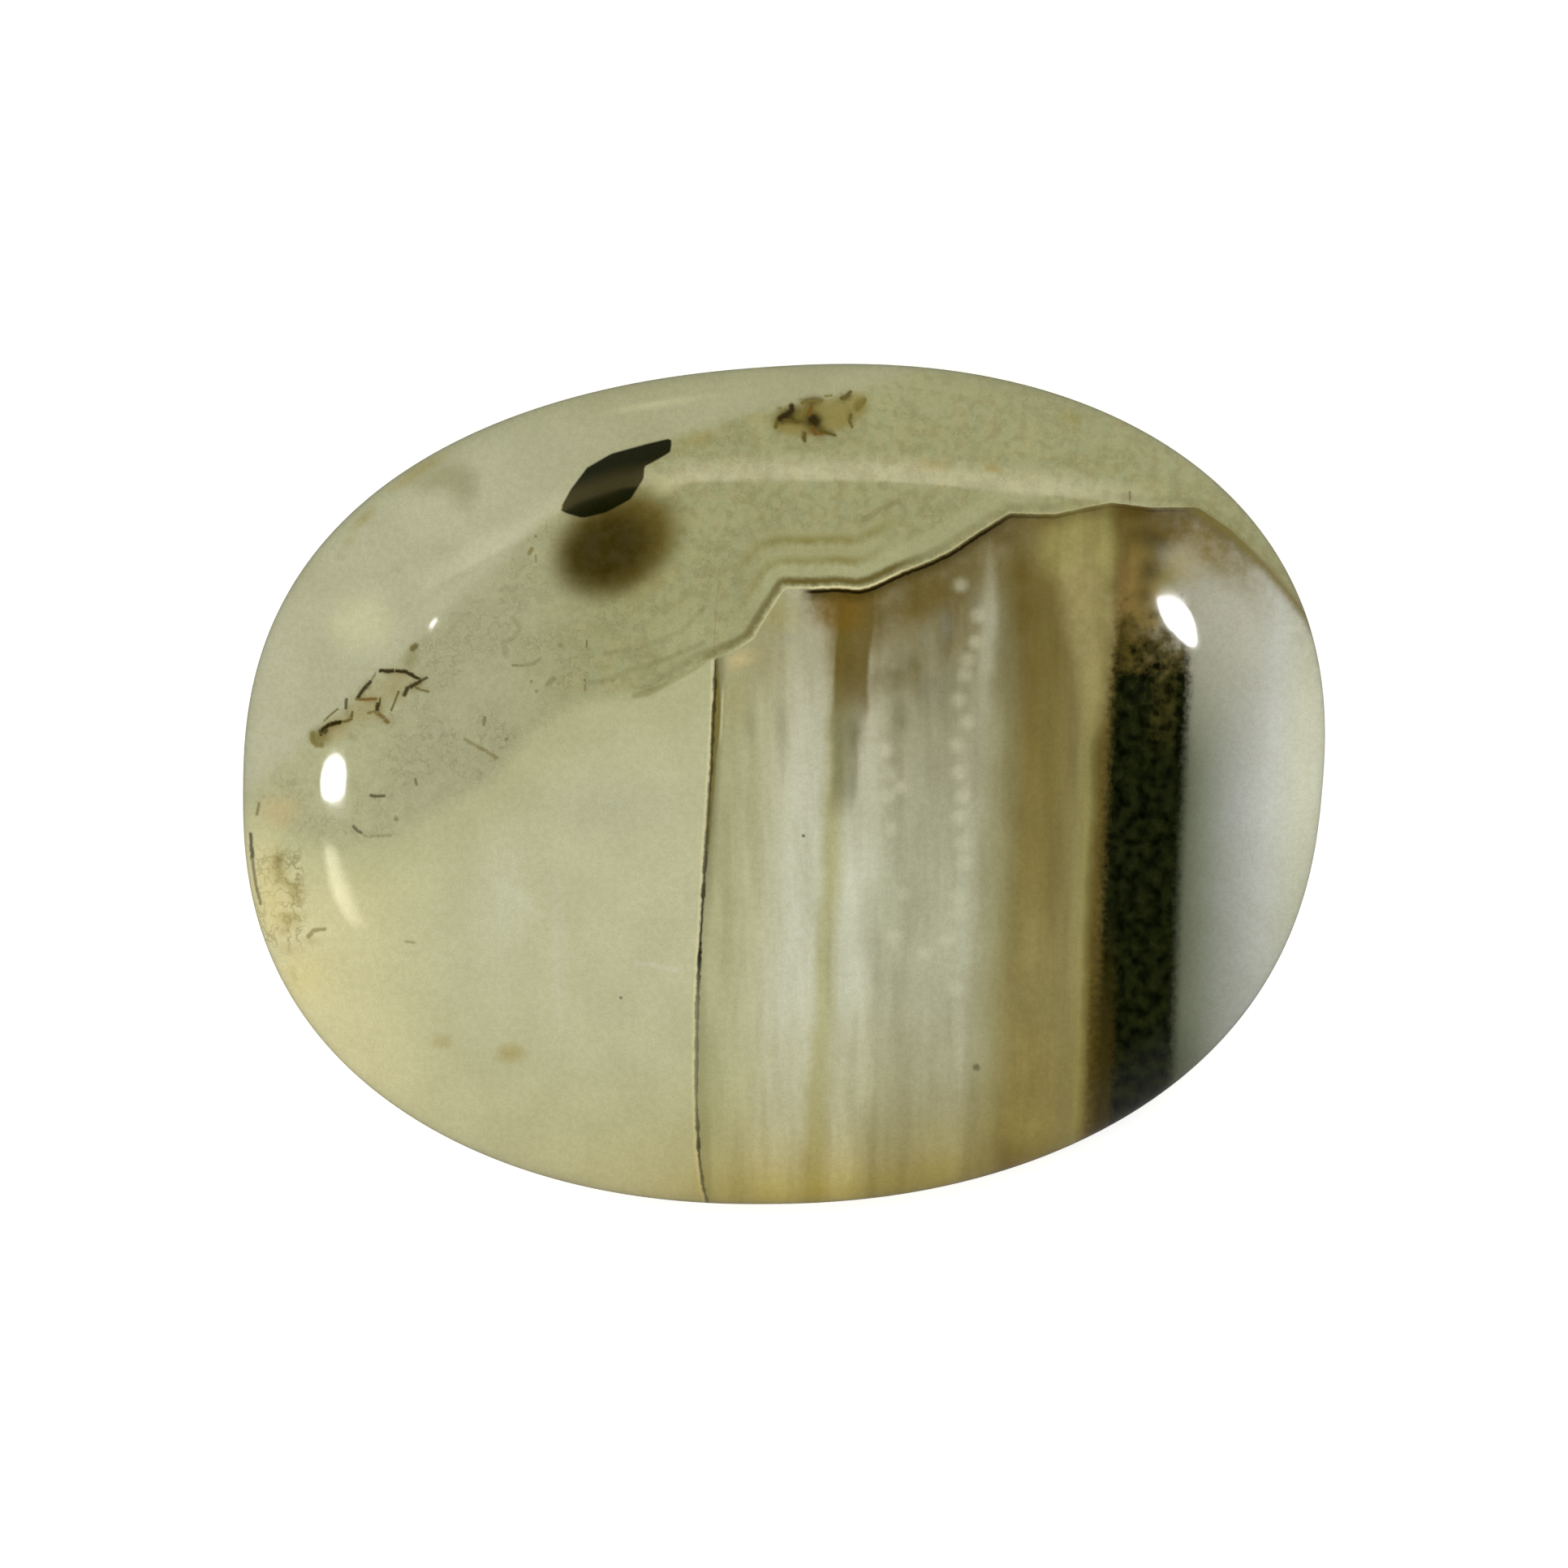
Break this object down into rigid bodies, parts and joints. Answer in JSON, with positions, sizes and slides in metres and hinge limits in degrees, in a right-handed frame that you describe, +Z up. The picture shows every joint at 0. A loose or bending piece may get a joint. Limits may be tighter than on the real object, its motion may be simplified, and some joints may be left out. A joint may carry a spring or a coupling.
{
  "type": "agate stone",
  "caption": "Polished oval agate cabochon with a low domed crown, a rounded girdle and a flat back, in banded translucent chalcedony.",
  "frame": {"origin": "middle of the flat back, under the centre of the oval", "axes": "+X along the length towards the end with the dark band, +Y along the width towards the wavy seam, +Z up from the flat back to the crown"},
  "size_m": [0.03, 0.0232, 0.0064],
  "materials": {
    "agate": "polished"
  },
  "bodies": {
    "root": {"agate_stone": "agate"}
  },
  "joints": []
}
